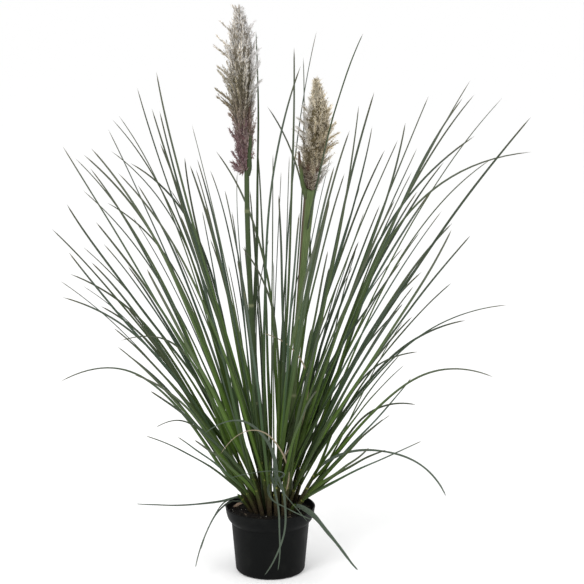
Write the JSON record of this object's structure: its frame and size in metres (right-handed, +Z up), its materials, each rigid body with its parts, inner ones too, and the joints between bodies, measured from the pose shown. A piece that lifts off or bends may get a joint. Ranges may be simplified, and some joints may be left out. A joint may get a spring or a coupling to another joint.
{
  "type": "potted pampas grass",
  "caption": "Young pampas grass in a round black nursery pot: a fountain of long narrow arching blades around upright stems with silky silver and gold plumes",
  "frame": {"origin": "centre of the pot's flat underside, on the floor", "axes": "+Z up along the plant, -Y to the front, +X to the right seen from the front"},
  "size_m": [0.976, 0.63, 1.184],
  "materials": {
    "pot": "smooth black nursery-pot plastic, slightly glossy",
    "soil": "dark bark-based potting mix, crumbly",
    "leaf": "green to blue-green living leaf, satin, fine lengthwise veins, purplish brown sheath at the foot",
    "culm": "green grass stem, satin, lengthwise stripes",
    "silver_plume": "silky silver-white hairs over mauve and olive spikelets",
    "golden_plume": "silky pale gold hairs over tan spikelets",
    "dead_leaf": "dry brown leaf scrap"
  },
  "bodies": {
    "root": {"pot": "pot", "soil": "soil", "dead_leaf": "dead_leaf", "culm_1": "culm", "plume_1": "silver_plume", "culm_2": "culm", "plume_2": "golden_plume", "tiller_01": "leaf", "tiller_02": "leaf", "tiller_03": "leaf", "tiller_04": "leaf", "tiller_05": "leaf", "tiller_06": "leaf", "tiller_07": "leaf", "tiller_08": "leaf", "tiller_09": "leaf", "tiller_10": "leaf", "tiller_11": "leaf", "tiller_12": "leaf", "tiller_13": "leaf", "tiller_14": "leaf", "tiller_15": "leaf", "tiller_16": "leaf", "tiller_17": "leaf", "tiller_18": "leaf", "tiller_19": "leaf", "tiller_20": "leaf", "tiller_21": "leaf", "tiller_22": "leaf", "tiller_23": "leaf", "tiller_24": "leaf", "tiller_25": "leaf", "tiller_26": "leaf", "tiller_27": "leaf", "tiller_28": "leaf", "tiller_29": "leaf", "tiller_30": "leaf", "tiller_31": "leaf", "tiller_32": "leaf", "tiller_33": "leaf", "tiller_34": "leaf", "tiller_35": "leaf", "tiller_36": "leaf", "tiller_37": "leaf", "tiller_38": "leaf", "tiller_39": "leaf", "tiller_40": "leaf", "tiller_41": "leaf", "tiller_42": "leaf"}
  },
  "joints": []
}
